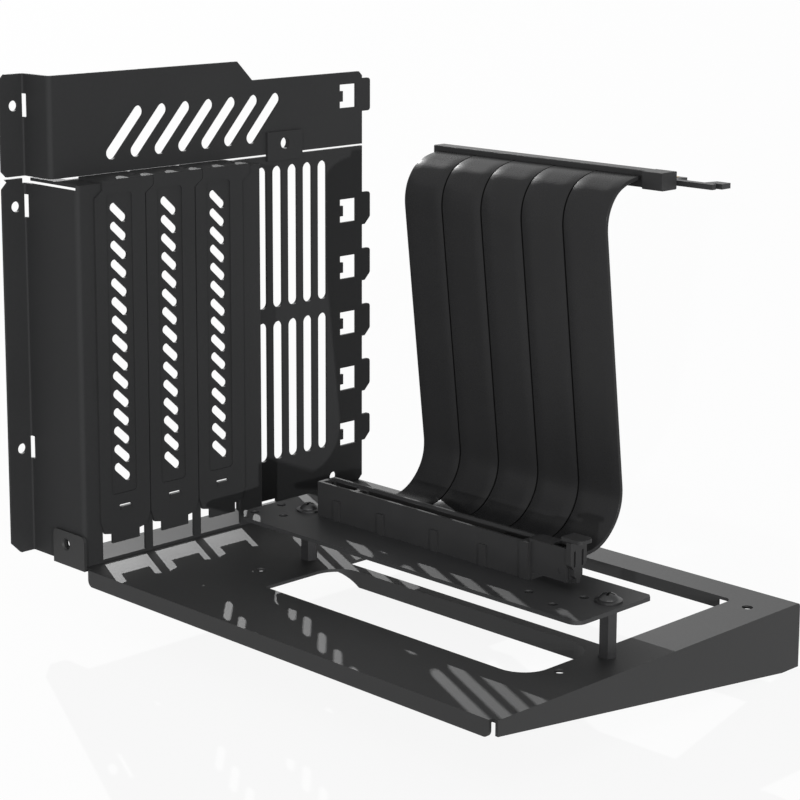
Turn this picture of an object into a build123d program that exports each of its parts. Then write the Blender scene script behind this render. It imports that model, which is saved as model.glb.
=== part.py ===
from build123d import *
import os
from math import radians, tan

# Vertical mount for an expansion card: a folded rear wall with three slot covers, an upper panel,
# a flat tray with two large openings, a riser board on two standoffs with a card connector and its
# latch, and five flat ribbons that rise to an edge connector.
# Millimetres. X runs from the rear mounting face into the case, Y along the wall from the open side
# to the board side, Z up. The origin is on the rear mounting face, at the outer face of the tray's
# front lip, level with the top of the tray.

# Sheet metal
sheet = 1.0
cover_sheet = 0.9
bend = 0.6
seat_gap = 0.3

# Rear wall, seen in plan
wall_depth = 13.5
box_depth = 13.5
box_side_y = 1.0
box_margin = 15.04
wall_end_y = 136.5
flange_width = 8.6
wall_top_margin = 0.38
panel_gap = 0.7
upper_high = 32.4
upper_low = 25.7
upper_step_y = 78.5
upper_step_run = 6.6
upper_corner = 3.0

# Flange fixings
flange_hole = 3.4
flange_hole_inset = 3.7
slit_height = 7.4
slit_depth = 2.6
ledge_slit = 0.6
ledge_tongue = 6.0
hole_low_z = 34.5
hole_mid_drop = 8.9
hole_high_rise = 22.4

# Expansion slot rhythm
slot_pitch = 20.32
slot_count = 3
first_cover_y = 17.2
window_width = 17.4
window_shift = -0.05
window_top_margin = 2.5
foot_depth = 14.5

# Slot covers
cover_width = 19.9
cover_shoulder_z = 13.7
cover_neck_z = 9.0
cover_chamfer = 1.35
cover_tongue_width = 10.9
cover_tongue_z = 5.9
jog_low = 4.5
jog_high = 2.2
tab_shift = 3.15
tab_width = 20.1
tab_depth = 12.6
tab_hole = 3.6
tab_hole_shift = 10.2
tab_hole_back = 6.9
emboss_width = 10.1
emboss_low_z = 21.8
emboss_top_margin = 3.5
emboss_depth = 0.5
emboss_shift = -0.45
louvre_count = 15
louvre_top_margin = 6.2
louvre_first_z = 28.6
louvre_length = 8.0
louvre_width = 2.8
louvre_tilt = -43
lance_z = 17.8
lance_length = 5.0
lance_width = 0.6
lance_bump = 1.5
lance_proud = 0.45

# Edge windows and tabs at the far end of the wall
edge_window_width = 7.9
edge_window_height = 8.3
edge_window_y = 129.65
edge_window_first_z = 18.48
edge_window_count = 5
upper_window_rise = 17.4
nib_width = 1.5
nib_height = 3.7
edge_tab = 3.95
edge_tab_height = 11.6
edge_tab_slope = 2.6
lowest_tab_cut = 2.0
edge_tab_fillet = 2.2
edge_hole = 3.4
edge_hole_y = 122.2
edge_hole_z = 3.8

# Vents
vent_columns = 5
vent_pitch = 7.03
vent_first_y = 89.1
vent_width = 4.4
vent_top_margin = 3.6
vent_low_z = 15.2
vent_bridge = 4.9
slant_count = 7
slant_pitch = 9.88
slant_y = 30.75
slant_z = 12.5
slant_reach = 16.6
slant_width = 4.2
slant_tilt = 48

# Tab that joins the wall to the upper panel
joint_tab_y = 90.9
joint_tab_width = 16.1
joint_tab_rise = 8.3
joint_tab_hole = 4.0
notch_y = 87.9
notch_width = 6.9
notch_height = 1.2

# Tray
tray_length = 205.4
tray_width = 136.2
lip_depth = 5.2
lip_start = 31.0
lip_end_gap = 2.0
skirt_low = 20.2
skirt_high = 4.6
skirt_start_y = 1.4
skirt_slope_y = 128.3
tray_corner = 2.0
opening_left = 82.0
opening_end_margin = 16.0
opening_front_y = 29.7
rib_y = 60.8
rib_width = 3.9
opening_back_margin = 12.2
opening_corner = 9.0
rib_flange_left = 2.6
rib_flange_right = 3.0
rib_flange_taper = 7.0
back_flange_depth = 3.9
ear_left = 12.9
ear_right = 29.2
ear_height = 10.3
ear_hole = 3.2
ear_sink = 0.5
ear_hole_x = 19.5
ear_hole_z = 6.0
tray_hole = 3.4
tray_hole_left_x = 68.3
tray_hole_end_inset = 12.5
tray_hole_y = 40.15
tray_far_hole_inset = 8.6
tray_far_hole_margin = 14.7

# Riser board, standoffs and screws
standoff_height = 15.0
standoff_across = 4.8
board_thickness = 1.2
board_left = 56.5
board_end_gap = 5.1
board_front_y = 38.6
board_back_y = 71.6
board_corner_cut = 5.5
board_corner = 3.5
standoff_left_inset = 14.0
standoff_right_inset = 5.8
standoff_y = 58.8
screw_thread = 3.0
screw_head = 8.0
screw_head_height = 2.3
board_hole = 3.0
board_hole_inset = 12.7

# Card connector
slot_inset = 20.3
slot_length = 89.5
slot_width = 7.5
slot_height = 11.2
slot_y = 56.8
slot_groove = 1.9
slot_groove_depth = 8.6
slot_rim = 0.9
slot_key_x = 13.9
slot_key = 1.6
slot_wall = 1.5
pilaster_width = 2.6
pilaster_height = 6.6
pilaster_proud = 0.5
tower_length = 12.2
tower_rise = 0.9
tower_undercut = 2.2
contact_pitch = 2.0
contact_width = 0.7
contact_height = 4.0

# Latch
latch_width = 4.6
latch_pin = 1.6
latch_clearance = 0.25
latch_axis_height = 5.0
latch_plate = 1.7
latch_plate_width = 7.0
latch_foot_gap = 1.9
paddle_length = 7.4
paddle_width = 5.6
paddle_thickness = 1.1
paddle_rise = 2.0

# Ribbons
ribbon_count = 5
ribbon_inset = 3.2
ribbon_width = 16.5
ribbon_gap = 0.2
ribbon_thickness = 1.2
ribbon_start_y = 66.0
ribbon_run = 27.3
ribbon_drop_back = 13.9
ribbon_entry_rise = 0.6

# Edge connector at the end of the ribbons
plug_inset = 0.85
plug_length = 95.05
plug_y = 106.0
plug_width = 7.0
plug_height = 5.2
plug_z = 127.9
plug_bar_inset = 2.0
plug_block = 7.4
plug_wall = 1.2
plug_key_x = 16.0
card_thickness = 1.6
card_reach = 9.0
card_tongue = 11.9
card_tongue_back = 1.5
card_hook = 1.3
card_drop = 1.1
finger_pitch = 2.0
finger_width = 1.3
finger_length = 6.2
finger_thickness = 0.15
finger_first_x = 5.6
finger_second_x = 19.0
finger_end_gap = 4.2

# Sizes that follow from the ones above
wall_height = (edge_window_count + 1) * slot_pitch + wall_top_margin
box_width = slot_count * slot_pitch + box_margin
hole_mid_z = wall_height - hole_mid_drop
emboss_high_z = wall_height - emboss_top_margin
louvre_pitch = (emboss_high_z - louvre_top_margin - louvre_first_z) / (louvre_count - 1)
vent_height = (wall_height - vent_low_z - vent_bridge - vent_top_margin) / 2
opening_right = tray_length - opening_end_margin
opening_back_y = tray_width - opening_back_margin
board_right = tray_length - board_end_gap
standoff_left_x = board_left + standoff_left_inset
standoff_right_x = board_right - standoff_right_inset
slot_left = board_left + slot_inset
ribbon_left = slot_left + ribbon_inset
plug_left = slot_left + plug_inset
wall_front = wall_depth + sheet
box_front = wall_front + box_depth
box_end_y = box_side_y + box_width
upper_bottom = wall_height + panel_gap
hole_high_z = upper_bottom + hole_high_rise
cover_front = box_front + cover_sheet
cover_top = wall_height + cover_sheet
bend_outer = bend + sheet
board_bottom = standoff_height
board_top = board_bottom + board_thickness
slot_right = slot_left + slot_length
slot_top = board_top + slot_height
slot_mid_y = slot_y + slot_width / 2
window_centres = [first_cover_y + window_shift + i * slot_pitch for i in range(slot_count)]
cover_centres = [first_cover_y + i * slot_pitch for i in range(slot_count)]
plug_bottom = plug_z - plug_height / 2
plug_right = plug_left + plug_length
plug_back_y = plug_y + plug_width


# Folded rear wall, drawn in plan and raised
with BuildPart() as rear_frame:
    with BuildSketch(Plane.XY):
        with BuildLine():
            FilletPolyline(
                (0, box_side_y - flange_width),
                (0, box_side_y + sheet),
                (box_front - sheet, box_side_y + sheet),
                (box_front - sheet, box_end_y - sheet),
                (wall_depth, box_end_y - sheet),
                (wall_depth, wall_end_y),
                radius=[bend_outer, bend, bend, bend_outer],
            )
            offset(amount=sheet, side=Side.RIGHT)
        make_face()
    extrude(amount=wall_height)
    # Ledge over the box, apart from the side wall by a bend gap
    with BuildSketch(Plane.XY.offset(wall_height - sheet)):
        with Locations((wall_depth, box_side_y + sheet)):
            Rectangle(box_front - wall_depth - sheet / 2, box_width - sheet,
                      align=(Align.MIN, Align.MIN))
        with Locations((bend_outer, box_side_y + sheet)):
            Rectangle(wall_depth - bend_outer + sheet, ledge_tongue, align=(Align.MIN, Align.MIN))
    extrude(amount=sheet)
    # Foot that lies on the tray inside the box
    with BuildSketch(Plane.XY):
        with Locations((box_front - sheet / 2, box_side_y + sheet / 2)):
            Rectangle(foot_depth - sheet / 2, box_width - sheet, align=(Align.MAX, Align.MIN))
    extrude(amount=sheet)
    # Slit between ledge and side wall
    with Locations((-sheet, box_side_y - sheet, wall_height - sheet - ledge_slit)):
        Box(box_front + sheet - bend_outer / 2, sheet * 2.6, sheet * 2 + ledge_slit,
            align=(Align.MIN, Align.MIN, Align.MIN), mode=Mode.SUBTRACT)
    # Flange corners
    with BuildSketch(Plane.YZ):
        with Locations((box_side_y - flange_width, wall_height - sheet)):
            Rectangle(3.0, 3.0, rotation=45)
        with Locations((box_side_y - flange_width, 0)):
            Rectangle(5.0, 5.0, rotation=45)
    extrude(amount=sheet, mode=Mode.SUBTRACT)
    # Card windows, open down to the foot
    with BuildSketch(Plane.YZ.offset(box_front - sheet * 2)):
        for y in window_centres:
            with Locations((y, sheet)):
                Rectangle(window_width, wall_height - window_top_margin - sheet,
                          align=(Align.CENTER, Align.MIN))
            # Corner left standing behind the cover's jog
            with Locations((y - window_width / 2, wall_height - window_top_margin)):
                Rectangle(2.0, jog_low - window_top_margin + 1.0, align=(Align.MIN, Align.MAX),
                          mode=Mode.SUBTRACT)
    extrude(amount=sheet * 3, mode=Mode.SUBTRACT)
    # Two rows of long vents, with the first column beside the box
    with BuildSketch(Plane.YZ.offset(wall_depth - sheet)):
        for i in range(vent_columns):
            for z in (vent_low_z, vent_low_z + vent_height + vent_bridge):
                with Locations((vent_first_y + i * vent_pitch, z + vent_height / 2)):
                    SlotOverall(vent_height, vent_width, rotation=90)
    extrude(amount=sheet * 3, mode=Mode.SUBTRACT)
    # Tabs along the far edge, one beside each window
    with BuildSketch(Plane.YZ.offset(wall_depth)):
        for i in range(edge_window_count):
            tab_z = edge_window_first_z + i * slot_pitch
            tab_low = tab_z - edge_tab_height / 2 + (lowest_tab_cut if i == 0 else 0)
            with BuildLine():
                Polyline(
                    (wall_end_y - 0.01, tab_low),
                    (wall_end_y + edge_tab - edge_tab_slope, tab_low),
                    (wall_end_y + edge_tab, tab_low + edge_tab_slope),
                    (wall_end_y + edge_tab, tab_z + edge_tab_height / 2),
                    (wall_end_y - 0.01, tab_z + edge_tab_height / 2),
                    close=True,
                )
            make_face()
    extrude(amount=sheet)
    tab_tips = rear_frame.edges().filter_by(Axis.X).group_by(Axis.Y)[-1]
    fillet(tab_tips, edge_tab_fillet / 2)
    # Windows, each with a nib on its near side
    with BuildSketch(Plane.YZ.offset(wall_depth - sheet)):
        for i in range(edge_window_count):
            with Locations((edge_window_y, edge_window_first_z + i * slot_pitch)):
                Rectangle(edge_window_width, edge_window_height)
            with Locations((edge_window_y - edge_window_width / 2,
                            edge_window_first_z + i * slot_pitch)):
                Rectangle(nib_width, nib_height, align=(Align.MIN, Align.CENTER),
                          mode=Mode.SUBTRACT)
        with Locations((edge_hole_y, edge_hole_z)):
            Circle(edge_hole / 2)
        with Locations((notch_y, 0)):
            Rectangle(notch_width, notch_height * 2, align=(Align.MIN, Align.CENTER))
    extrude(amount=sheet * 3, mode=Mode.SUBTRACT)
    # Tab that laps over the upper panel
    with BuildSketch(Plane.YZ.offset(wall_front)):
        with Locations((joint_tab_y, wall_height - sheet * 1.6)):
            Rectangle(joint_tab_width, joint_tab_rise + sheet * 1.6,
                      align=(Align.MIN, Align.MIN))
        with Locations((joint_tab_y + joint_tab_width / 2, wall_height + joint_tab_rise / 2)):
            Circle(joint_tab_hole / 2, mode=Mode.SUBTRACT)
    extrude(amount=sheet)
    # Flange holes with a bend slit beside each
    with BuildSketch(Plane.YZ.offset(-sheet)):
        for z in (hole_low_z, hole_mid_z):
            with Locations((box_side_y - flange_hole_inset, z)):
                Circle(flange_hole / 2)
    extrude(amount=sheet * 3, mode=Mode.SUBTRACT)
    with Locations([(-sheet, box_side_y - 0.4, z) for z in (hole_low_z, hole_mid_z)]):
        Box(slit_depth + sheet, sheet * 2, slit_height,
            align=(Align.MIN, Align.MIN, Align.CENTER), mode=Mode.SUBTRACT)
    # Screw hole behind the tray's ear
    with BuildSketch(Plane.XZ.offset(-(box_side_y + sheet * 2))):
        with Locations((ear_hole_x, ear_hole_z)):
            Circle(ear_hole / 2 - 0.3)
    extrude(amount=sheet * 3, mode=Mode.SUBTRACT)
    # Screw holes of the covers in the ledge
    with BuildSketch(Plane.XY.offset(wall_height - sheet * 2)):
        for y in cover_centres:
            with Locations((cover_front - tab_hole_back, y + tab_hole_shift)):
                Circle(tab_hole / 2)
    extrude(amount=sheet * 3, mode=Mode.SUBTRACT)
    # Trimmed lower corner at the far end
    with BuildSketch(Plane.YZ.offset(wall_depth - sheet)):
        with Locations((wall_end_y, 0)):
            Rectangle(2.6, 2.6, rotation=45)
    extrude(amount=sheet * 3, mode=Mode.SUBTRACT)

# Upper panel with its joggle, raised side and slanted slots
with BuildPart() as upper_panel:
    with BuildSketch(Plane.XY.offset(upper_bottom)):
        with BuildLine():
            FilletPolyline(
                (0, box_side_y - flange_width),
                (0, box_side_y + sheet),
                (wall_depth, box_side_y + sheet),
                (wall_depth, wall_end_y),
                radius=[bend_outer, bend],
            )
            offset(amount=sheet, side=Side.RIGHT)
        make_face()
    extrude(amount=upper_high)
    # Step down of the top edge towards the far end
    with BuildSketch(Plane.YZ.offset(wall_depth - sheet)):
        with BuildLine():
            Polyline(
                (upper_step_y, upper_bottom + upper_high),
                (upper_step_y + upper_step_run, upper_bottom + upper_low),
                (wall_end_y - upper_corner / 2, upper_bottom + upper_low),
                (wall_end_y + edge_tab, upper_bottom + upper_low - upper_corner * 1.8),
                (wall_end_y + edge_tab, upper_bottom + upper_high + 1),
                (upper_step_y, upper_bottom + upper_high + 1),
                close=True,
            )
        make_face()
    extrude(amount=sheet * 3, mode=Mode.SUBTRACT)
    # Edge tab, window with nib
    upper_window_z = upper_bottom + upper_window_rise
    with BuildSketch(Plane.YZ.offset(wall_depth)):
        with Locations((wall_end_y - 0.01, upper_window_z)):
            Rectangle(edge_tab, edge_tab_height, align=(Align.MIN, Align.CENTER))
    extrude(amount=sheet)
    fillet(upper_panel.edges().filter_by(Axis.X).group_by(Axis.Y)[-1], edge_tab_fillet / 2)
    with BuildSketch(Plane.YZ.offset(wall_depth - sheet)):
        with Locations((edge_window_y, upper_window_z)):
            Rectangle(edge_window_width, edge_window_height)
        with Locations((edge_window_y - edge_window_width / 2, upper_window_z)):
            Rectangle(nib_width, nib_height, align=(Align.MIN, Align.CENTER),
                      mode=Mode.SUBTRACT)
        with Locations((joint_tab_y + joint_tab_width / 2, wall_height + joint_tab_rise / 2)):
            Circle(joint_tab_hole / 2)
        for i in range(slant_count):
            with Locations((slant_y + i * slant_pitch, upper_bottom + slant_z)):
                SlotCenterToCenter(slant_reach, slant_width, rotation=slant_tilt)
    extrude(amount=sheet * 3, mode=Mode.SUBTRACT)
    with BuildSketch(Plane.YZ.offset(-sheet)):
        with Locations((box_side_y - flange_hole_inset, hole_high_z)):
            Circle(flange_hole / 2)
    extrude(amount=sheet * 3, mode=Mode.SUBTRACT)
    with Locations((-sheet, box_side_y - 0.4, hole_high_z)):
        Box(slit_depth + sheet, sheet * 2, slit_height,
            align=(Align.MIN, Align.MIN, Align.CENTER), mode=Mode.SUBTRACT)
    with BuildSketch(Plane.YZ):
        for z in (upper_bottom, upper_bottom + upper_high):
            with Locations((box_side_y - flange_width, z)):
                Rectangle(2.6, 2.6, rotation=45)
    extrude(amount=sheet, mode=Mode.SUBTRACT)


def build_cover(centre):
    """One slot cover: a plate with a pressed panel, its slanted slots, a necked tongue and a top tab."""
    left = centre - cover_width / 2
    right = centre + cover_width / 2
    tab_left = centre + tab_shift - tab_width / 2
    tab_right = centre + tab_shift + tab_width / 2
    with BuildPart() as cover:
        with BuildSketch(Plane.YZ.offset(box_front)):
            with BuildLine():
                Polyline(
                    (left, cover_shoulder_z),
                    (left + cover_chamfer, cover_neck_z + 0.6),
                    (centre - cover_tongue_width / 2, cover_neck_z),
                    (centre - cover_tongue_width / 2, cover_tongue_z),
                    (centre + cover_tongue_width / 2, cover_tongue_z),
                    (centre + cover_tongue_width / 2, cover_neck_z),
                    (right - cover_chamfer, cover_neck_z + 0.6),
                    (right, cover_shoulder_z),
                    (right, wall_height - jog_low),
                    (tab_right, wall_height - jog_high),
                    (tab_right, cover_top),
                    (tab_left, cover_top),
                    (tab_left, wall_height - jog_high),
                    (left, wall_height - jog_low),
                    close=True,
                )
            make_face()
        extrude(amount=cover_sheet)
        # Tab folded back over the ledge
        with BuildSketch(Plane.XY.offset(wall_height)):
            with Locations((cover_front - cover_sheet / 2, tab_left)):
                Rectangle(tab_depth, tab_width, align=(Align.MAX, Align.MIN))
        extrude(amount=cover_sheet)
        fold = cover.edges().filter_by(Axis.Y).group_by(Axis.Z)[-1].sort_by(Axis.X)[-1]
        fillet(fold, cover_sheet * 0.8)
        tab_ends = cover.edges().filter_by(Axis.Z).group_by(Axis.X)[0]
        fillet(tab_ends, 1.2)
        with BuildSketch(Plane.XY.offset(wall_height - cover_sheet)):
            with Locations((cover_front - tab_hole_back, centre + tab_hole_shift)):
                Circle(tab_hole / 2)
        extrude(amount=cover_sheet * 3, mode=Mode.SUBTRACT)
        # Panel pressed in from the front, standing out behind
        panel_height = emboss_high_z - emboss_low_z
        panel_mid = (emboss_high_z + emboss_low_z) / 2
        with BuildSketch(Plane.YZ.offset(box_front - emboss_depth)):
            with Locations((centre + emboss_shift, panel_mid)):
                RectangleRounded(emboss_width + emboss_depth, panel_height + emboss_depth, 1.4)
        extrude(amount=emboss_depth + 0.01)
        with BuildSketch(Plane.YZ.offset(cover_front - emboss_depth)):
            with Locations((centre + emboss_shift, panel_mid)):
                RectangleRounded(emboss_width, panel_height, 1.2)
        extrude(amount=emboss_depth * 2, mode=Mode.SUBTRACT)
        # Slanted slots and the punched lance
        with BuildSketch(Plane.YZ.offset(box_front - emboss_depth * 2)):
            for i in range(louvre_count):
                with Locations((centre + emboss_shift, louvre_first_z + i * louvre_pitch)):
                    SlotOverall(louvre_length, louvre_width, rotation=louvre_tilt)
            with Locations((centre, lance_z)):
                SlotOverall(lance_length, lance_width)
        extrude(amount=cover_sheet + emboss_depth * 3, mode=Mode.SUBTRACT)
        with BuildSketch(Plane.YZ.offset(cover_front - 0.01)):
            with Locations((centre, lance_z - lance_width / 2 - lance_bump / 2)):
                RectangleRounded(lance_length - 0.6, lance_bump, 0.5)
        extrude(amount=lance_proud)
    return cover.part


# Tray: a plate with folded edges, two openings and a rib between them
with BuildPart() as base_tray:
    with BuildSketch(Plane.XY.offset(-sheet)):
        with Locations((wall_depth, 0)):
            Rectangle(tray_length - wall_depth, tray_width, align=(Align.MIN, Align.MIN))
        with Locations((wall_depth, 0)):
            Rectangle(lip_start - wall_depth, sheet + 0.4, align=(Align.MIN, Align.MIN),
                      mode=Mode.SUBTRACT)
        with Locations((tray_length - lip_end_gap, 0)):
            Rectangle(lip_end_gap, skirt_start_y, align=(Align.MIN, Align.MIN),
                      mode=Mode.SUBTRACT)
    extrude(amount=sheet)
    # Ear folded up outside the box
    with BuildSketch(Plane.XY.offset(-sheet)):
        with Locations((wall_depth, 0)):
            Rectangle(ear_right - wall_depth, sheet + 0.5, align=(Align.MIN, Align.MIN))
    extrude(amount=sheet)
    with BuildSketch(Plane.XZ):
        with Locations((ear_left, -sheet)):
            Rectangle(ear_right - ear_left, ear_height + sheet, align=(Align.MIN, Align.MIN))
    extrude(amount=-sheet)
    fillet(base_tray.edges().filter_by(Axis.Y).group_by(Axis.Z)[-1], 2.0)
    # Front lip
    with BuildSketch(Plane.XZ):
        with Locations((lip_start, 0)):
            Rectangle(tray_length - lip_end_gap - lip_start, lip_depth,
                      align=(Align.MIN, Align.MAX))
    extrude(amount=-sheet)
    # Back lip
    with BuildSketch(Plane.XZ.offset(-tray_width)):
        with Locations((lip_start, 0)):
            Rectangle(tray_length - lip_end_gap - lip_start, lip_depth,
                      align=(Align.MIN, Align.MAX))
    extrude(amount=sheet)
    lip_corners = base_tray.edges().filter_by(Axis.Y).group_by(Axis.Z)[0]
    fillet(lip_corners, tray_corner)
    # End skirt, deeper towards the back
    with BuildSketch(Plane.YZ.offset(tray_length - sheet)):
        with BuildLine():
            Polyline(
                (skirt_start_y, 0),
                (skirt_start_y, -skirt_high),
                (skirt_slope_y, -skirt_low),
                (wall_end_y, -skirt_low),
                (wall_end_y, 0),
                close=True,
            )
        make_face()
    extrude(amount=sheet)
    skirt_corner = base_tray.edges().filter_by(Axis.X).group_by(Axis.Y)[-1]
    fillet(skirt_corner.sort_by(Axis.Z)[-1], 1.2)
    # Openings, with a rib left between them
    opening_length = opening_right - opening_left
    opening_mid_x = (opening_right + opening_left) / 2
    back_start = rib_y + rib_width
    front_mid_y = (opening_front_y + rib_y) / 2
    front_span = rib_y - opening_front_y
    with BuildSketch(Plane.XY.offset(-sheet * 2)):
        with Locations((opening_mid_x, front_mid_y)):
            Rectangle(opening_length, front_span)
        fillet(vertices().sort_by(lambda v: v.X + v.Y)[1:], opening_corner)
    extrude(amount=sheet * 3, mode=Mode.SUBTRACT)
    with BuildSketch(Plane.XY.offset(-sheet * 2)):
        with Locations((opening_mid_x, (back_start + opening_back_y) / 2)):
            RectangleRounded(opening_length, opening_back_y - back_start, 2.5)
    extrude(amount=sheet * 3, mode=Mode.SUBTRACT)
    # Down flange on the rib, which follows the rounded corner
    with BuildSketch(Plane.XY.offset(-lip_depth)):
        with Locations((opening_mid_x, front_mid_y)):
            RectangleRounded(opening_length + sheet * 2, front_span + sheet * 2,
                             opening_corner + sheet)
            RectangleRounded(opening_length, front_span, opening_corner, mode=Mode.SUBTRACT)
        with Locations((opening_left + rib_flange_left, front_mid_y + 1)):
            Rectangle(opening_length - rib_flange_left - rib_flange_right, front_span,
                      align=(Align.MIN, Align.MIN), mode=Mode.INTERSECT)
    extrude(amount=lip_depth - sheet / 2)
    # Its left end runs out in a slope
    with BuildSketch(Plane.XZ.offset(-front_mid_y)):
        with BuildLine():
            Polyline(
                (opening_left - 1, -sheet),
                (opening_left + rib_flange_left, -sheet),
                (opening_left + rib_flange_left + rib_flange_taper, -lip_depth - 0.1),
                (opening_left - 1, -lip_depth - 0.1),
                close=True,
            )
        make_face()
    extrude(amount=-front_span / 2 - sheet * 2, mode=Mode.SUBTRACT)
    # Down flange on the back edge of the rear opening
    with BuildSketch(Plane.XZ.offset(-opening_back_y)):
        with Locations((opening_left + opening_corner, 0)):
            Rectangle(opening_length - opening_corner * 1.6, back_flange_depth,
                      align=(Align.MIN, Align.MAX))
    extrude(amount=-sheet)
    # Holes in the tray and in the ear, the ear's with a countersink
    with Locations((tray_length - tray_hole_end_inset, tray_hole_y, 0),
                   (tray_length - tray_far_hole_inset, tray_width - tray_far_hole_margin, 0),
                   (tray_hole_left_x, tray_hole_y, 0)):
        Hole(tray_hole / 2, depth=sheet * 2)
    with Locations((standoff_left_x, standoff_y, 0), (standoff_right_x, standoff_y, 0)):
        Hole(screw_thread / 2, depth=sheet * 2)
    with Locations(Plane((ear_hole_x, 0, ear_hole_z), x_dir=(1, 0, 0), z_dir=(0, -1, 0))):
        CounterSinkHole(ear_hole / 2, ear_hole / 2 + ear_sink, depth=sheet * 2)

# Riser board
with BuildPart() as riser_board:
    with BuildSketch(Plane.XY.offset(board_bottom)):
        with BuildLine():
            Polyline(
                (board_left, board_front_y + board_corner_cut * 0.85),
                (board_left + board_corner_cut, board_front_y),
                (board_right, board_front_y),
                (board_right, board_back_y - 1.5),
                (board_right - 1.5, board_back_y),
                (board_left, board_back_y),
                close=True,
            )
        make_face()
    extrude(amount=board_thickness)
    front_right = riser_board.edges().filter_by(Axis.Z).sort_by(
        lambda e: e.center().X - e.center().Y)[-1]
    fillet(front_right, board_corner)
    hole_edge = board_hole_inset
    with Locations(
        (board_right - hole_edge, standoff_y - 2.4, board_top),
        (board_right - hole_edge - 2.1, standoff_y - 13.3, board_top),
        (board_right - hole_edge - 14.2, standoff_y - 9.9, board_top),
        (board_left + 3.6, standoff_y - 2.6, board_top),
        (board_left + 3.4, standoff_y - 13.9, board_top),
        (board_left + 12.8, standoff_y - 10.0, board_top),
    ):
        Hole(board_hole / 2, depth=board_thickness * 2)
    with Locations((standoff_left_x, standoff_y, board_top),
                   (standoff_right_x, standoff_y, board_top)):
        Hole(screw_thread / 2 + 0.2, depth=board_thickness * 2)


def build_standoff(x):
    """Hexagonal standoff with a threaded bore from the top."""
    with BuildPart() as post:
        with BuildSketch(Plane.XY):
            with Locations((x, standoff_y)):
                RegularPolygon(standoff_across / 2, 6, major_radius=False, rotation=10)
        extrude(amount=standoff_height)
        chamfer(post.edges().group_by(Axis.Z)[-1], 0.3)
        with Locations((x, standoff_y, standoff_height)):
            Hole(screw_thread / 2, depth=8)
    return post.part


def build_screw(x):
    """Pan-head screw with a collar, turned from a half profile, with a crossed recess."""
    dome = screw_head / 2 - 1.1
    with BuildPart() as screw:
        with BuildSketch(Plane((x, standoff_y, board_top), x_dir=(1, 0, 0), z_dir=(0, -1, 0))):
            with BuildLine():
                Polyline(
                    (0, -6.5),
                    (screw_thread / 2 - 0.5, -6.5),
                    (screw_thread / 2 - 0.02, -6.0),
                    (screw_thread / 2 - 0.02, 0),
                    (screw_head / 2, 0),
                    (screw_head / 2, 0.55),
                    (dome, 0.75),
                )
                ThreePointArc((dome, 0.75), (dome * 0.78, screw_head_height * 0.76),
                              (0, screw_head_height))
                Line((0, screw_head_height), (0, -6.5))
            make_face()
        revolve(axis=Axis((x, standoff_y, board_top), (0, 0, 1)))
        with BuildSketch(Plane.XY.offset(board_top + screw_head_height - 1.0)):
            with Locations((x, standoff_y)):
                Rectangle(3.4, 0.8, rotation=25)
                Rectangle(0.8, 3.4, rotation=25)
        extrude(amount=2, mode=Mode.SUBTRACT)
    return screw.part


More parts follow.
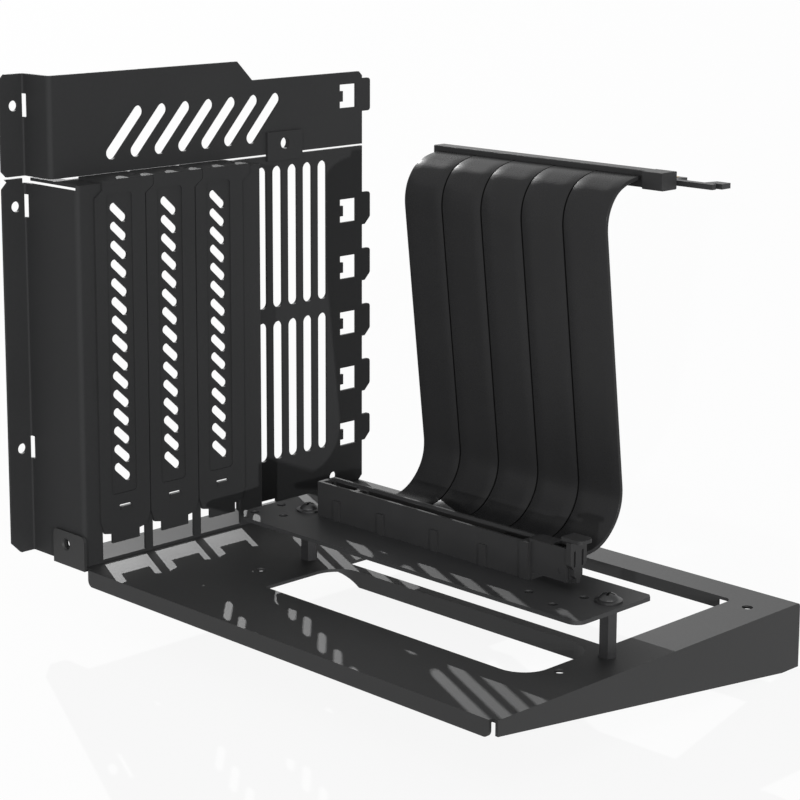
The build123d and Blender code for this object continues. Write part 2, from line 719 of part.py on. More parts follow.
# Connector housing with its card groove, side pilasters and end tower
tower_left = slot_right + 1.4
tower_right = tower_left + tower_length
latch_axis_x = tower_right - 2.4
latch_axis_z = board_top + latch_axis_height
with BuildPart() as slot_housing:
    with BuildSketch(Plane.XY.offset(board_top)):
        with Locations((slot_left, slot_y)):
            Rectangle(slot_length, slot_width, align=(Align.MIN, Align.MIN))
    extrude(amount=slot_height)
    # Sloped lead-in of the top, leaving a narrow rim
    with BuildSketch(Plane.YZ.offset(slot_left + slot_wall)):
        with BuildLine():
            Polyline(
                (slot_y + slot_rim, slot_top + 0.01),
                (slot_y + slot_rim + 0.7, slot_top - 0.7),
                (slot_y + slot_width - slot_rim - 0.7, slot_top - 0.7),
                (slot_y + slot_width - slot_rim, slot_top + 0.01),
                close=True,
            )
        make_face()
    extrude(amount=slot_length - slot_wall * 2, mode=Mode.SUBTRACT)
    # Card groove on either side of the key
    with BuildSketch(Plane.XY.offset(slot_top - slot_groove_depth)):
        with Locations((slot_left + slot_wall, slot_mid_y)):
            Rectangle(slot_key_x - slot_wall, slot_groove, align=(Align.MIN, Align.CENTER))
        with Locations((slot_left + slot_key_x + slot_key, slot_mid_y)):
            Rectangle(slot_length - slot_key_x - slot_key - slot_wall, slot_groove,
                      align=(Align.MIN, Align.CENTER))
    extrude(amount=slot_groove_depth, mode=Mode.SUBTRACT)
    # Pockets for the two rows of springs
    with BuildSketch(Plane.XY.offset(slot_top - slot_groove_depth + 1.0)):
        with Locations((slot_left + slot_key_x + slot_key + 2, slot_mid_y)):
            Rectangle(slot_length - slot_key_x - slot_key - slot_wall - 4, slot_groove + 2.2,
                      align=(Align.MIN, Align.CENTER))
        with Locations((slot_left + slot_wall + 1, slot_mid_y)):
            Rectangle(slot_key_x - slot_wall - 2, slot_groove + 2.2,
                      align=(Align.MIN, Align.CENTER))
    extrude(amount=slot_groove_depth, mode=Mode.SUBTRACT)
    # Pilasters on both long sides
    with BuildSketch(Plane.XY.offset(board_top)):
        for x in (slot_left + 9.0, slot_left + 28.7, slot_left + 51.6, slot_left + 71.5):
            for y, side in ((slot_y, Align.MAX), (slot_y + slot_width, Align.MIN)):
                with Locations((x, y)):
                    Rectangle(pilaster_width, pilaster_proud, align=(Align.CENTER, side))
    extrude(amount=pilaster_height)
    with BuildSketch(Plane.XY.offset(board_top)):
        with Locations((slot_right, slot_mid_y)):
            Rectangle(3.2, slot_width + pilaster_proud * 2, align=(Align.MAX, Align.CENTER))
    extrude(amount=slot_height)
    # End tower, forked for the latch
    with BuildSketch(Plane.XY.offset(board_top)):
        with Locations((slot_right - 0.5, slot_mid_y)):
            Rectangle(tower_length + 1.9, slot_width - 1.4, align=(Align.MIN, Align.CENTER))
    extrude(amount=slot_height + tower_rise)
    with BuildSketch(Plane.XY.offset(board_top)):
        with Locations((tower_right - 6.4, slot_mid_y)):
            Rectangle(8, latch_width, align=(Align.MIN, Align.CENTER))
    extrude(amount=slot_height + tower_rise, mode=Mode.SUBTRACT)
    with BuildSketch(Plane.XZ.offset(-slot_y)):
        with Locations((latch_axis_x, latch_axis_z)):
            Circle(latch_pin / 2)
    extrude(amount=-slot_width, mode=Mode.SUBTRACT)
    # Undercut that keeps the tower clear of the board
    with BuildSketch(Plane.XY.offset(board_top)):
        with Locations((slot_right + 0.6, slot_mid_y)):
            Rectangle(tower_length + 2, slot_width, align=(Align.MIN, Align.CENTER))
    extrude(amount=tower_undercut, mode=Mode.SUBTRACT)

# Springs of the connector, standing in the pockets on both sides of the groove
with BuildPart() as slot_contacts:
    first_block = int((slot_key_x - slot_wall - 3.2) / contact_pitch) + 1
    second_start = slot_left + slot_key_x + slot_key + 3.2
    second_block = int((slot_right - slot_wall - 3.2 - second_start) / contact_pitch) + 1
    contact_base = slot_top - slot_groove_depth + 1.0
    positions = [slot_left + slot_wall + 1.9 + i * contact_pitch for i in range(first_block)]
    positions += [second_start + i * contact_pitch for i in range(second_block)]
    with BuildSketch(Plane.XY.offset(contact_base)):
        for x in positions:
            for s in (-1, 1):
                with Locations((x, slot_mid_y + s * (slot_groove / 2 + 0.45))):
                    Rectangle(contact_width, 0.5)
    extrude(amount=contact_height)

# Latch: an arm on a pin between the tower's cheeks, an outer plate with two slots and a foot, a paddle
plate_x = tower_right + latch_clearance
plate_top = slot_top + tower_rise + paddle_rise
with BuildPart() as slot_latch:
    arm_width = latch_width - latch_clearance * 2
    with BuildSketch(Plane.XZ.offset(-(slot_mid_y - arm_width / 2))):
        with BuildLine():
            Polyline(
                (latch_axis_x - 2.2, latch_axis_z - 2.0),
                (plate_x + 0.1, latch_axis_z - 2.0),
                (plate_x + 0.1, latch_axis_z + 5.6),
                (latch_axis_x - 2.6, latch_axis_z + 5.6),
                (latch_axis_x - 2.6, latch_axis_z + 0.8),
                close=True,
            )
        make_face()
        with Locations((latch_axis_x, latch_axis_z)):
            Circle(latch_pin / 2 + 0.1, mode=Mode.SUBTRACT)
    extrude(amount=-arm_width)
    # Outer plate, narrowing to the foot
    half = latch_plate_width / 2
    with BuildSketch(Plane.YZ.offset(plate_x)):
        with BuildLine():
            Polyline(
                (slot_mid_y - half, plate_top),
                (slot_mid_y - half, latch_axis_z + 2.6),
                (slot_mid_y - 1.8, latch_axis_z + 0.9),
                (slot_mid_y - 1.8, latch_axis_z - 0.9),
                (slot_mid_y - 0.8, latch_axis_z - 1.9),
                (slot_mid_y - 0.8, board_top + latch_foot_gap),
                (slot_mid_y + 0.8, board_top + latch_foot_gap),
                (slot_mid_y + 0.8, latch_axis_z - 1.9),
                (slot_mid_y + 1.8, latch_axis_z - 0.9),
                (slot_mid_y + 1.8, latch_axis_z + 0.9),
                (slot_mid_y + half, latch_axis_z + 2.6),
                (slot_mid_y + half, plate_top),
                close=True,
            )
        make_face()
        for side in (-1, 1):
            with Locations((slot_mid_y + side * 1.7, latch_axis_z + 4.2)):
                SlotOverall(4.8, 0.8, rotation=90, mode=Mode.SUBTRACT)
    extrude(amount=latch_plate)
    # Paddle
    with BuildSketch(Plane.XY.offset(plate_top)):
        with Locations((latch_axis_x + 0.1, slot_mid_y)):
            Rectangle(paddle_length, paddle_width, align=(Align.MIN, Align.CENTER))
    extrude(amount=paddle_thickness)
    fillet(slot_latch.edges().filter_by(Axis.Z).group_by(Axis.X)[-1], 1.6)

with BuildPart() as latch_axle:
    with BuildSketch(Plane.XZ.offset(-(slot_mid_y - slot_width / 2 + 0.8))):
        with Locations((latch_axis_x, latch_axis_z)):
            Circle(latch_pin / 2 - 0.02)
    extrude(amount=-(slot_width - 1.6))


# Centreline of the ribbons in the YZ plane: flat off the board, up in a slight lean, over to the plug
ribbon_z = board_top + ribbon_thickness / 2
ribbon_end_z = plug_z + ribbon_entry_rise
plug_bar_y = plug_y + plug_bar_inset
card_z = plug_z - card_drop
route = [
    (ribbon_start_y, ribbon_z),
    (ribbon_start_y + ribbon_run, ribbon_z),
    (ribbon_start_y + ribbon_run + 9.55, ribbon_z + 10.76),
    (plug_y - ribbon_drop_back, ribbon_end_z - 9.44),
    (plug_y - ribbon_drop_back + 8.4, ribbon_end_z),
    (plug_y + plug_width, ribbon_end_z),
]


def corner_radii(points):
    """Radius of the arc at each inner point: as large as its two runs allow."""
    radii = []
    for before, here, after in zip(points, points[1:], points[2:]):
        first = Vector(here[0] - before[0], here[1] - before[1])
        second = Vector(after[0] - here[0], after[1] - here[1])
        half_turn = radians(first.get_angle(second)) / 2
        radii.append(0.45 * min(first.length, second.length) / tan(half_turn))
    return radii


route_radii = corner_radii(route)
print("ribbon radii", [round(radius, 1) for radius in route_radii])


def build_ribbon(index):
    """One flat ribbon: straight runs joined by arcs, cut flush with the plug's face."""
    x = ribbon_left + index * (ribbon_width + ribbon_gap)
    with BuildPart() as ribbon:
        with BuildSketch(Plane.YZ.offset(x)):
            with BuildLine() as centreline:
                FilletPolyline(*route, radius=route_radii)
            trace(centreline.wires()[0], line_width=ribbon_thickness)
        extrude(amount=ribbon_width)
        split(bisect_by=Plane((0, plug_bar_y, 0), x_dir=(1, 0, 0), z_dir=(0, -1, 0)),
              keep=Keep.TOP)
    return ribbon.part


# Moulded housing of the edge connector: a bar and a thicker block at one end
with BuildPart() as plug_housing:
    with BuildSketch(Plane.YZ.offset(plug_left)):
        with Locations(((plug_bar_y + plug_back_y) / 2, plug_z)):
            RectangleRounded(plug_width - plug_bar_inset, plug_height, 0.4)
    extrude(amount=plug_length)
    with BuildSketch(Plane.YZ.offset(plug_right - plug_block)):
        with Locations(((plug_y + plug_back_y) / 2, plug_z)):
            RectangleRounded(plug_width, plug_height + 0.2, 0.4)
    extrude(amount=plug_block)
    # Seat for the card edge
    with BuildSketch(Plane.XY.offset(card_z - card_thickness / 2)):
        with Locations((plug_left + plug_wall, plug_bar_y + plug_wall)):
            Rectangle(plug_length - plug_wall * 2, plug_width, align=(Align.MIN, Align.MIN))
    extrude(amount=card_thickness, mode=Mode.SUBTRACT)

# Card edge with its key notch, tongue and hook
card_edge_y = plug_back_y + card_reach
tongue_y = plug_back_y + card_tongue_back
tongue_end = plug_right + card_tongue
with BuildPart() as plug_card:
    with BuildSketch(Plane.XY.offset(card_z - card_thickness / 2)):
        with BuildLine():
            Polyline(
                (plug_left + plug_wall, plug_bar_y + plug_wall),
                (plug_right - plug_wall, plug_bar_y + plug_wall),
                (plug_right - plug_wall, tongue_y),
                (tongue_end, tongue_y),
                (tongue_end, tongue_y + 1.8),
                (tongue_end - 2.0, tongue_y + 3.0),
                (tongue_end + card_hook, tongue_y + 3.0),
                (tongue_end + card_hook, card_edge_y - 0.4),
                (tongue_end - 3.6, card_edge_y - 0.4),
                (tongue_end - 4.8, tongue_y + 2.6),
                (plug_right - 3.0, tongue_y + 2.6),
                (plug_right - 3.0, card_edge_y),
                (plug_left + 4.0, card_edge_y),
                (plug_left + 4.0, plug_back_y + 1.0),
                (plug_left + plug_wall, plug_back_y + 1.0),
                close=True,
            )
        make_face()
        with Locations((plug_left + plug_key_x, card_edge_y)):
            SlotOverall(14.0, slot_key + 0.3, rotation=90, mode=Mode.SUBTRACT)
    extrude(amount=card_thickness)

# Contact strips on both faces of the card edge
with BuildPart() as plug_fingers:
    finger_span = plug_length - finger_end_gap - finger_second_x
    finger_count = int(finger_span / finger_pitch)
    finger_x = [plug_left + finger_first_x + i * finger_pitch for i in range(5)]
    finger_x += [plug_left + finger_second_x + i * finger_pitch for i in range(finger_count + 1)]
    for z in (card_z + card_thickness / 2, card_z - card_thickness / 2 - finger_thickness):
        with BuildSketch(Plane.XY.offset(z)):
            for x in finger_x:
                with Locations((x, card_edge_y - 0.8)):
                    Rectangle(finger_width, finger_length, align=(Align.CENTER, Align.MAX))
        extrude(amount=finger_thickness)

os.makedirs("parts", exist_ok=True)

rear_frame.part.label = "rear_frame"
export_step(rear_frame.part, "parts/rear_frame.step")
upper_panel.part.label = "upper_panel"
export_step(upper_panel.part, "parts/upper_panel.step")
for i, y in enumerate(cover_centres):
    slot_cover = build_cover(y)
    slot_cover.label = f"slot_cover_{i + 1}"
    export_step(slot_cover, f"parts/slot_cover_{i + 1}.step")
base_tray.part.label = "base_tray"
export_step(base_tray.part, "parts/base_tray.step")
riser_board.part.label = "riser_board"
export_step(riser_board.part, "parts/riser_board.step")
for name, x in (("rear", standoff_left_x), ("front", standoff_right_x)):
    standoff = build_standoff(x)
    standoff.label = f"standoff_{name}"
    export_step(standoff, f"parts/standoff_{name}.step")
    screw = build_screw(x)
    screw.label = f"board_screw_{name}"
    export_step(screw, f"parts/board_screw_{name}.step")
slot_housing.part.label = "slot_housing"
export_step(slot_housing.part, "parts/slot_housing.step")
slot_contacts.part.label = "slot_contacts"
export_step(slot_contacts.part, "parts/slot_contacts.step")
slot_latch.part.label = "slot_latch"
export_step(slot_latch.part, "parts/slot_latch.step")
latch_axle.part.label = "latch_axle"
export_step(latch_axle.part, "parts/latch_axle.step")
for i in range(ribbon_count):
    ribbon = build_ribbon(i)
    ribbon.label = f"ribbon_{i + 1}"
    export_step(ribbon, f"parts/ribbon_{i + 1}.step")
plug_housing.part.label = "plug_housing"
export_step(plug_housing.part, "parts/plug_housing.step")
plug_card.part.label = "plug_card"
export_step(plug_card.part, "parts/plug_card.step")
plug_fingers.part.label = "plug_fingers"
export_step(plug_fingers.part, "parts/plug_fingers.step")
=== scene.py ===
# %% [markdown]
# # A vertical mount for an expansion card
#
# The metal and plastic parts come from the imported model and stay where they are. This lesson gives
# them their finishes, models the five flat ribbons as the flexible things they are, and sets up a
# pale studio with the camera of the photograph. Everything is in metres, with X into the case, Y
# along the wall and Z up.

import bpy
import math
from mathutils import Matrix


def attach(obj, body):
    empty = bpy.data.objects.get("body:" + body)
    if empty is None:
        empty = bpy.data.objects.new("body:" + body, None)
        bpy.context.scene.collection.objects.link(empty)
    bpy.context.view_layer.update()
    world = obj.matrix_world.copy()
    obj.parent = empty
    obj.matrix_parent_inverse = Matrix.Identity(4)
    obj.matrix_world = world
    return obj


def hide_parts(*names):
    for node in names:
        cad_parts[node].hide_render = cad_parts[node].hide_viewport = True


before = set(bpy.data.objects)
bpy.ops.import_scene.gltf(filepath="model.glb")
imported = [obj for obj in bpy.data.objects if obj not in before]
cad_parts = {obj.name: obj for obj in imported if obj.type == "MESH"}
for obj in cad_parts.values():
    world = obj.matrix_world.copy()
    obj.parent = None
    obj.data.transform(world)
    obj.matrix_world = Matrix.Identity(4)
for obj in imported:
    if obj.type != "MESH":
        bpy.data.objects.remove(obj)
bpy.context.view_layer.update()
print("nodes loaded:", len(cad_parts))

# %% Sizes that the scene shares with the model
MM = 0.001
SKIRT_LOW = -20.2 * MM
RIBBON_LEFT = 80.0 * MM
RIBBON_WIDTH = 16.5 * MM
RIBBON_GAP = 0.2 * MM
RIBBON_THICKNESS = 1.2 * MM
RIBBON_COUNT = 5
print("one ribbon is", round(RIBBON_WIDTH / MM, 1), "mm wide")


# %% Small helpers for edit mode
def deselect_all():
    """Leave edit mode and select nothing, because an operator acts on all that is selected."""
    if bpy.context.object and bpy.context.object.mode != "OBJECT":
        bpy.ops.object.mode_set(mode="OBJECT")
    bpy.ops.object.select_all(action="DESELECT")


def settle(piece):
    """Put a finished piece's place into its mesh, so that the object stands at the origin."""
    deselect_all()
    piece.select_set(True)
    bpy.context.view_layer.objects.active = piece
    bpy.ops.object.transform_apply(location=True, rotation=True, scale=True)


print("helpers ready")


# %% [markdown]
# ## The camera
#
# The photograph was taken from the front right, a little above the tray, with a long lens. The
# middle of its view doesn't lie in the middle of the frame, as when a picture is cropped from a
# wider one, and a shifted lens gives the same framing.

# %% Camera at the photograph's place
CAMERA_PLACE = (0.56925, -0.39963, 0.21684)
AZIMUTH, ELEVATION = 46.12, 9.97
LENS, SENSOR = 98.456, 36.0
SHIFT_X, SHIFT_Y = 0.0542, -0.1757
NEAREST, FARTHEST = 0.01, 20

bpy.ops.object.camera_add(
    location=CAMERA_PLACE,
    rotation=(math.radians(90 - ELEVATION), 0, math.radians(AZIMUTH)),
)
camera = bpy.context.object
camera.name = "photo_camera"
camera.data.lens = LENS
camera.data.sensor_width = SENSOR
camera.data.shift_x = SHIFT_X
camera.data.shift_y = SHIFT_Y
camera.data.clip_start = NEAREST
camera.data.clip_end = FARTHEST
bpy.context.scene.camera = camera
print("camera set, lens", LENS, "mm")


# %% [markdown]
# ## Expressions for shader maths
#
# A finish is easier to read as a sum than as a tangle of nodes. The class Value holds one socket,
# and each operator on it adds the Math node that does that sum. The class Shader keeps a node tree
# and adds any other node, with its settings first and its sockets after. The class Finish is the
# node tree of a material, with its surface shader and its place on the object.


# %% A socket that can be added and multiplied
class Value:
    """One shader value, with the operators that the finishes use."""

    def __init__(self, shader, socket):
        self.shader = shader
        self.socket = socket

    def _math(self, operation, first, second=None, clamp=False):
        node = self.shader.tree.nodes.new("ShaderNodeMath")
        node.operation = operation
        node.use_clamp = clamp
        for slot, value in enumerate((first, second)):
            if value is None:
                continue
            if isinstance(value, Value):
                self.shader.tree.links.new(value.socket, node.inputs[slot])
            else:
                node.inputs[slot].default_value = value
        return Value(self.shader, node.outputs[0])

    def __add__(self, other):
        return self._math("ADD", self, other)

    __radd__ = __add__

    def __sub__(self, other):
        return self._math("SUBTRACT", self, other)

    def __rsub__(self, other):
        return self._math("SUBTRACT", other, self)

    def __mul__(self, other):
        return self._math("MULTIPLY", self, other)

    def clamped(self):
        """The value, kept from 0 to 1."""
        return self._math("ADD", self, 0.0, clamp=True)

    def between(self, low, high):
        """The value, kept from low to high."""
        return self._math("MINIMUM", self._math("MAXIMUM", self, low), high)

    def away_from_whole(self):
        """How far the value is from the nearest whole number, from 0 to 0.5."""
        return self._math("ABSOLUTE", self._math("FRACT", self + 0.5) - 0.5)


# %% A node tree that grows by whole nodes
class Shader:
    """A node tree under construction."""

    def __init__(self, tree):
        self.tree = tree

    def feed(self, socket, value):
        """Link a value to a socket, or write a constant in it."""
        if isinstance(value, Value):
            self.tree.links.new(value.socket, socket)
        elif hasattr(value, "__len__") and len(value) == 3 and socket.type == "RGBA":
            socket.default_value = (*value, 1)
        else:
            socket.default_value = value

    def node(self, kind, settings=None, **inputs):
        """Add a node: settings are set first, then its sockets are given values or links."""
        made = self.tree.nodes.new(kind)
        for key, value in (settings or {}).items():
            setattr(made, key, value)
        for key, value in inputs.items():
            self.feed(made.inputs[key.replace("_", " ")], value)
        return {output.name: Value(self, output) for output in made.outputs if output.enabled}

    def blend(self, factor, first, second):
        """Blend two surfaces by a factor."""
        made = self.tree.nodes.new("ShaderNodeMixShader")
        for slot, value in enumerate((factor, first, second)):
            self.feed(made.inputs[slot], value)
        return Value(self, made.outputs[0])

    def in_sight(self):
        """1 for rays from the camera, also by way of a mirror or glass, and 0 for all others."""
        rays = self.node("ShaderNodeLightPath")
        sight = rays["Is Camera Ray"] + rays["Is Glossy Ray"] + rays["Is Transmission Ray"]
        return sight.clamped()


# %% A material with its surface shader
class Finish(Shader):
    """A material under construction: its tree, its surface shader and its place on the object."""

    def __init__(self, name):
        self.material = bpy.data.materials.new(name)
        self.material.use_nodes = True
        super().__init__(self.material.node_tree)
        self.surface = self.tree.nodes["Principled BSDF"]
        self.place = self.node("ShaderNodeTexCoord")["Object"]

    def set(self, **sockets):
        """Give the surface shader's sockets their values or links."""
        for key, value in sockets.items():
            self.feed(self.surface.inputs[key.replace("_", " ")], value)

    def mix(self, factor, dark, light):
        """Blend two colours by a factor."""
        made = self.tree.nodes.new("ShaderNodeMix")
        made.data_type = "RGBA"
        self.feed(made.inputs["Factor"], factor)
        colour_sockets = [socket for socket in made.inputs if socket.type == "RGBA"]
        for socket, colour in zip(colour_sockets, (dark, light)):
            self.feed(socket, colour)
        return Value(self, next(socket for socket in made.outputs if socket.type == "RGBA"))

    def noise(self, scale, detail=2.0, roughness=0.5):
        """A noise over the object, from 0 to 1; scale is its number of cells to a metre."""
        return self.node("ShaderNodeTexNoise", Vector=self.place, Scale=scale,
                         Detail=detail, Roughness=roughness)["Fac"]

    def bump(self, height, relief, strength):
        """Turn a height from 0 to 1 into a normal; relief is its depth in metres."""
        self.set(Normal=self.node("ShaderNodeBump", Height=height, Distance=relief,
                                  Strength=strength)["Normal"])


print("expression classes ready")


# %% [markdown]
# ## Black powder coat on the sheet metal
#
# Powder coat is a thick paint that melts and flows in an oven. It keeps a fine orange peel, so its
# gloss is broken into small soft highlights, and it is never one even black. A fine noise gives the
# peel as bump, and a broad one changes the roughness and the colour a little. The tray shines more
# than the wall in the photograph, so it gets a glossier coat of the same kind, and its colour is
# made darker than the wall's as painted shade, which keeps its lip and sides dark under the lamps.


# %% Powder coat
def powder_coat(name, gloss, dark, light):
    """Matt black paint; gloss is how much it mirrors, where 0.5 is plain paint."""
    coat = Finish(name)
    peel = coat.noise(2600, detail=3)
    cloud = coat.noise(26, detail=4, roughness=0.6)
    dust = coat.noise(900, detail=1)
    coat.set(
        Base_Color=coat.mix((cloud * 0.6 + dust * 0.4).clamped(), dark, light),
        Roughness=0.52 + cloud * 0.12 + dust * 0.06,
        IOR=1.48,
        Specular_IOR_Level=gloss,
    )
    coat.bump(peel, 0.03 * MM, 0.6)
    return coat.material


steel_black = powder_coat("black_powder_coat", 0.09,
                          (0.0190, 0.0192, 0.0196), (0.0275, 0.0278, 0.0284))
# the tray's coat: glossier, and darker in colour as painted shade
tray_black_painted_shade = powder_coat("black_powder_coat_tray_painted_shade", 0.44,
                         (0.0085, 0.0086, 0.0088), (0.0130, 0.0132, 0.0135))
print("coats:", steel_black.name, tray_black_painted_shade.name)


# %% [markdown]
# ## Moulded plastic, solder mask, ribbon jacket and small metal
#
# The connector is glass-filled plastic: very dark, with a fine spark-eroded grain. The boards wear
# black solder mask, which is smoother and shows the weave of the laminate under it. The ribbons
# have a satin jacket, with shade painted near black along the seams where two of them meet. The
# screws and posts are blackened steel, and the contacts have a thin gold flash.


# %% Moulded plastic
def connector_plastic():
    """Glass-filled plastic with a spark-eroded grain."""
    plastic = Finish("connector_plastic")
    grain = plastic.noise(5200, detail=2)
    tone = plastic.noise(120, detail=2)
    plastic.set(Base_Color=plastic.mix(tone, (0.0165, 0.0165, 0.0170), (0.0235, 0.0235, 0.0240)),
                Roughness=0.42 + grain * 0.14, IOR=1.5, Specular_IOR_Level=0.22)
    plastic.bump(grain, 0.02 * MM, 0.5)
    return plastic.material


plastic_black = connector_plastic()
print("finish:", plastic_black.name)


# %% Solder mask over the laminate's weave
def solder_mask():
    """Black lacquer, with two crossed waves for the weave under it."""
    mask = Finish("black_solder_mask")
    weave_x, weave_y = (
        mask.node("ShaderNodeTexWave", {"wave_type": "BANDS", "bands_direction": direction},
                  Vector=mask.place, Scale=420, Distortion=0.4)["Fac"]
        for direction in ("X", "Y")
    )
    tone = mask.noise(60, detail=3)
    mask.set(Base_Color=mask.mix(tone, (0.0150, 0.0152, 0.0158), (0.0210, 0.0213, 0.0220)),
             Roughness=0.48 + tone * 0.1, IOR=1.5, Specular_IOR_Level=0.34)
    mask.bump((weave_x + weave_y) * 0.5, 0.012 * MM, 0.4)
    return mask.material


mask_black = solder_mask()
print("finish:", mask_black.name)

# %% Ribbon jacket, with painted shade where two ribbons meet
# how far the painted shade reaches from the middle of each seam, and how wide it fades out
SEAM_SHADE_WIDTH = 0.24 * MM
SEAM_SHADE_FADE = 0.14 * MM


def ribbon_jacket():
    """Satin cloth; the seam mask is 0 in the seam between two ribbons, where the colour is painted
    shade, near black, and 1 on a ribbon.
    """
    jacket = Finish("ribbon_jacket")
    fibre = jacket.noise(3400, detail=2)
    tone = jacket.noise(40, detail=3)
    pitch = RIBBON_WIDTH + RIBBON_GAP
    along_x = jacket.node("ShaderNodeSeparateXYZ", Vector=jacket.place)["X"]
    ribbons_in = (along_x - (RIBBON_LEFT - RIBBON_GAP / 2)) * (1 / pitch)
    seam = ribbons_in.between(0.5, RIBBON_COUNT - 0.5).away_from_whole() * pitch
    clear_of_seam_shade = ((seam - SEAM_SHADE_WIDTH) * (1 / SEAM_SHADE_FADE)).clamped()
    cloth = jacket.mix(tone, (0.0195, 0.0195, 0.0200), (0.0250, 0.0250, 0.0255))
    # painted shade: the colour goes near black in the seams between ribbons, where the mask is 0
    jacket.set(Base_Color=jacket.mix(clear_of_seam_shade, (0.0010, 0.0010, 0.0010), cloth),
               Roughness=0.75 - clear_of_seam_shade * 0.53 + tone * 0.06 + fibre * 0.05,
               IOR=1.46, Specular_IOR_Level=0.10)
    jacket.bump(fibre, 0.02 * MM, 0.45)
    return jacket.material


jacket_black = ribbon_jacket()
print("finish:", jacket_black.name)


# %% Blackened steel and gold
def blackened_steel():
    """Steel under a thin black finish, so it is only partly metallic."""
    steel = Finish("blackened_steel")
    fleck = steel.noise(1400, detail=3)
    steel.set(Base_Color=steel.mix(fleck, (0.014, 0.014, 0.0145), (0.028, 0.028, 0.029)),
              Roughness=0.32 + fleck * 0.14, Metallic=0.35)
    steel.bump(fleck, 0.01 * MM, 0.4)
    return steel.material


def gold_flash():
    """Gold that is a little worn, so its colour and gloss change from place to place."""
    gold = Finish("gold_flash")
    wear = gold.noise(700, detail=3)
    gold.set(Base_Color=gold.mix(wear, (0.56, 0.38, 0.13), (0.72, 0.52, 0.22)),
             Roughness=0.24 + wear * 0.14, Metallic=1.0)
    return gold.material


steel_screw = blackened_steel()
gold_contact = gold_flash()
print("finishes:", steel_screw.name, gold_contact.name)

# %% Give each node of the model its finish
finish_of = {
    "rear_frame": steel_black, "upper_panel": steel_black, "base_tray": tray_black_painted_shade,
    "slot_cover_1": steel_black, "slot_cover_2": steel_black, "slot_cover_3": steel_black,
    "riser_board": mask_black, "plug_card": mask_black,
    "standoff_front": steel_screw, "standoff_rear": steel_screw,
    "board_screw_front": steel_screw, "board_screw_rear": steel_screw,
    "latch_axle": steel_screw,
    "slot_housing": plastic_black, "slot_latch": plastic_black, "plug_housing": plastic_black,
    "slot_contacts": gold_contact, "plug_fingers": gold_contact,
}
for name, material in finish_of.items():
    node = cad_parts[name]
    node.data.materials.clear()
    node.data.materials.append(material)
print("finishes given to", len(finish_of), "nodes")

# %% [markdown]
# ## The ribbons
#
# Each ribbon is a flat cable of a fixed length. It leaves the board level, turns up behind the
# connector in a wide bend, leans back a little and turns over into the edge connector. Its line is
# a smooth NURBS spline that a few control points pull into shape, and the strip follows points
# read from that spline, so its bends ease in and out as a real cable's do.

# %% The line that every ribbon follows, as Y and Z in millimetres
BOARD_TOP = 16.2
ON_BOARD = BOARD_TOP + RIBBON_THICKNESS / MM / 2
ribbon_route = [
    (66.0, ON_BOARD),
    (79.0, ON_BOARD),
    (93.3, ON_BOARD),
    (102.85, 27.56),
    (101.1, 42.0),
    (93.6, 105.6),
    (92.1, 119.06),
    (100.5, 128.5),
    (113.0, 128.5),
]


def ribbon_line(x):
    """A smooth open spline along the route, at one ribbon's middle."""
    curve = bpy.data.curves.new("ribbon_line", "CURVE")
    curve.dimensions = "3D"
    curve.resolution_u = 12
    spline = curve.splines.new("NURBS")
    spline.points.add(len(ribbon_route) - 1)
    for point, (y, z) in zip(spline.points, ribbon_route):
        point.co = (x, y * MM, z * MM, 1)
    spline.order_u = 3
    spline.use_endpoint_u = True
    return bpy.data.objects.new("ribbon_line", curve)


def read_line(line):
    """The points of the spline as Blender draws it."""
    bpy.context.scene.collection.objects.link(line)
    mesh = bpy.data.meshes.new_from_object(line)
    points = [vertex.co.copy() for vertex in mesh.vertices]
    bpy.data.meshes.remove(mesh)
    bpy.data.objects.remove(line)
    return points


ribbon_points = read_line(ribbon_line(0.0))
print("points on one ribbon:", len(ribbon_points))


# %% [markdown]
# ## From a line to a flat cable
#
# A ribbon is made as a cable maker lays it: a flat strip along the line, given its thickness on
# both sides, with its long edges rolled round by a bevel. It ends just inside the edge connector,
# and every ribbon gets its own mesh.

# %% Model one ribbon along its line
INSIDE_PLUG = 109.3 * MM
SEAM_INSET = 0.02 * MM
EDGE_ROLL = 0.18 * MM
COLUMNS = 4


def flat_cable(index):
    """One ribbon as a strip that follows the points of its spline."""
    left = RIBBON_LEFT + index * (RIBBON_WIDTH + RIBBON_GAP)
    middle = left + RIBBON_WIDTH / 2
    strip_width = RIBBON_WIDTH - 2 * SEAM_INSET
    line = [point for point in read_line(ribbon_line(middle)) if point.y < INSIDE_PLUG]
    points, faces = [], []
    for point in line:
        for column in range(COLUMNS + 1):
            across = column / COLUMNS - 0.5
            points.append((middle + across * strip_width, point.y, point.z))
    for row in range(len(line) - 1):
        for column in range(COLUMNS):
            corner = row * (COLUMNS + 1) + column
            faces.append((corner, corner + 1, corner + COLUMNS + 2, corner + COLUMNS + 1))
    mesh = bpy.data.meshes.new(f"flat_cable_{index + 1}")
    mesh.from_pydata(points, [], faces)
    cable = bpy.data.objects.new(f"flat_cable_{index + 1}", mesh)
    bpy.context.scene.collection.objects.link(cable)
    deselect_all()
    cable.select_set(True)
    bpy.context.view_layer.objects.active = cable
    jacket = cable.modifiers.new("jacket", "SOLIDIFY")
    jacket.thickness = RIBBON_THICKNESS
    jacket.offset = 0
    bpy.ops.object.modifier_apply(modifier="jacket")
    rolled = cable.modifiers.new("rolled edge", "BEVEL")
    rolled.width = EDGE_ROLL
    rolled.segments = 3
    rolled.limit_method = "ANGLE"
    rolled.angle_limit = math.radians(60)
    bpy.ops.object.modifier_apply(modifier="rolled edge")
    bpy.ops.object.shade_smooth_by_angle(angle=math.radians(40))
    cable.data.materials.append(jacket_black)
    return cable, [tuple(point) for point in line]


def length_of(line):
    """The length of a line of points."""
    return sum(math.dist(a, b) for a, b in zip(line, line[1:]))


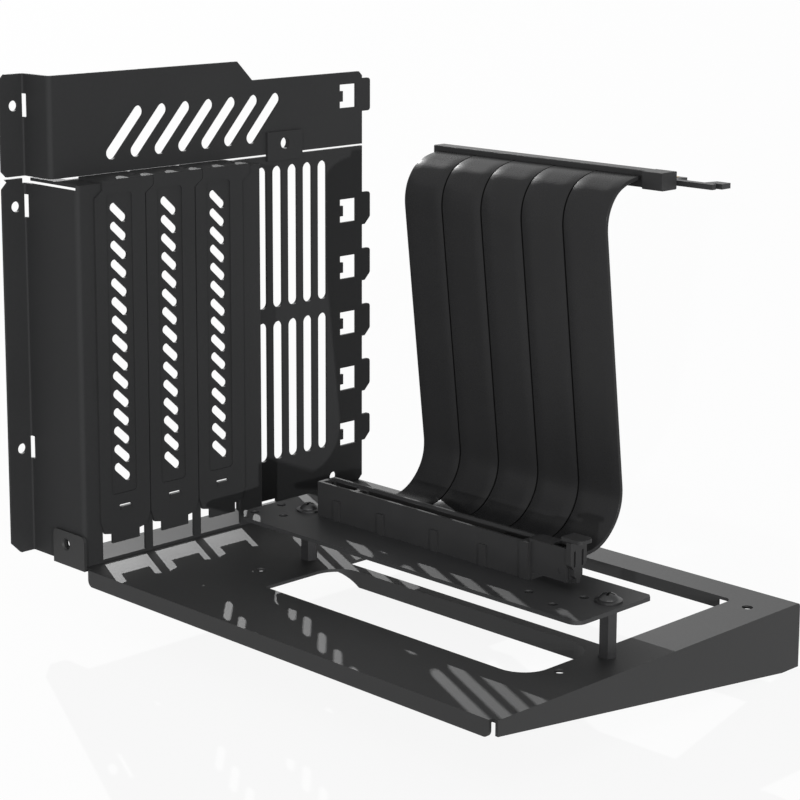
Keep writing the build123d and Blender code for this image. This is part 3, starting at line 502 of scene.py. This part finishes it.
# %% Lay the five ribbons
for index in range(RIBBON_COUNT):
    cable, line = flat_cable(index)
    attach(cable, "mount")
    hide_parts(f"ribbon_{index + 1}")
print("ribbon length", round(length_of(line), 4), "m, faces", len(cable.data.polygons))

# %% [markdown]
# ## Floor and light
#
# The photograph has a plain white ground. The floor is a pale sheet that the camera sees as almost
# white, and it still takes a faint shadow. The world and a soft lamp overhead give the even light
# of a studio. Three distant lamps throw the clear shadows: the one on the right puts the ribbons'
# shadow on the wall, the one in front puts the connector's on the ribbons, and the one behind on
# the left shines through the slots on to the tray and the board.

# %% Floor
OBJECT_MIDDLE = (0.1, 0.07, 0.06)
FLOOR_SIZE = 8
FLOOR_LEVEL = SKIRT_LOW - 0.4 * MM
FLOOR_WHITE = 0.9

bpy.ops.mesh.primitive_plane_add(size=FLOOR_SIZE, location=(*OBJECT_MIDDLE[:2], FLOOR_LEVEL))
floor = bpy.context.object
floor.name = "floor"
settle(floor)
ground = Finish("floor_paper")
ground.set(Base_Color=(0.86, 0.86, 0.86), Roughness=0.9)
paper = Value(ground, ground.surface.outputs[0])
glow = ground.node("ShaderNodeEmission", Color=(1, 1, 1), Strength=1.0)["Emission"]
output = ground.tree.nodes["Material Output"]
ground.feed(output.inputs["Surface"], ground.blend(ground.in_sight() * FLOOR_WHITE, paper, glow))
floor.data.materials.append(ground.material)
print("floor at", round(FLOOR_LEVEL / MM, 1), "mm")

# %% World: white where it is seen or mirrored, a plain studio to everything else
world = bpy.data.worlds.new("studio")
bpy.context.scene.world = world
world.use_nodes = True
world.node_tree.nodes.clear()
sky = Shader(world.node_tree)
room = sky.node("ShaderNodeBackground", Color=(0.97, 0.98, 1.0), Strength=0.25)["Background"]
white = sky.node("ShaderNodeBackground", Color=(1, 1, 1), Strength=1.0)["Background"]
world_output = sky.tree.nodes.new("ShaderNodeOutputWorld")
sky.feed(world_output.inputs["Surface"], sky.blend(sky.in_sight(), room, white))
print("world nodes:", len(sky.tree.nodes))


# %% Lamps
def shine_along(lamp, x, y, z):
    """Turn a lamp so that it shines along a direction."""
    tilt = math.atan2(math.hypot(x, y), -z)
    lamp.rotation_euler = (tilt, 0, math.atan2(y, x) - math.pi / 2)


def soft_lamp(name, place, target, size, power):
    """A large square lamp that faces a point of the object."""
    bpy.ops.object.light_add(type="AREA", location=place)
    lamp = bpy.context.object
    lamp.name = name
    lamp.data.shape = "SQUARE"
    lamp.data.size = size
    lamp.data.energy = power
    shine_along(lamp, *(there - here for there, here in zip(target, place)))


def far_lamp(name, aim, spread, strength):
    """A distant lamp whose rays run side by side; spread is its width in the sky in degrees."""
    bpy.ops.object.light_add(type="SUN", location=[-part for part in aim])
    lamp = bpy.context.object
    lamp.name = name
    lamp.data.angle = math.radians(spread)
    lamp.data.energy = strength
    shine_along(lamp, *aim)


soft_lamp("overhead", place=(0.5, -0.7, 1.4), target=OBJECT_MIDDLE, size=1.2, power=1.6)
far_lamp("right", aim=(-0.93, 0.34, -0.14), spread=1.0, strength=1.8)
far_lamp("front", aim=(-0.70, 1.0, -0.19), spread=1.0, strength=1.5)
far_lamp("behind_left", aim=(1.0, -0.478, -0.453), spread=0.35, strength=3.5)

bpy.context.scene.view_settings.view_transform = "Standard"
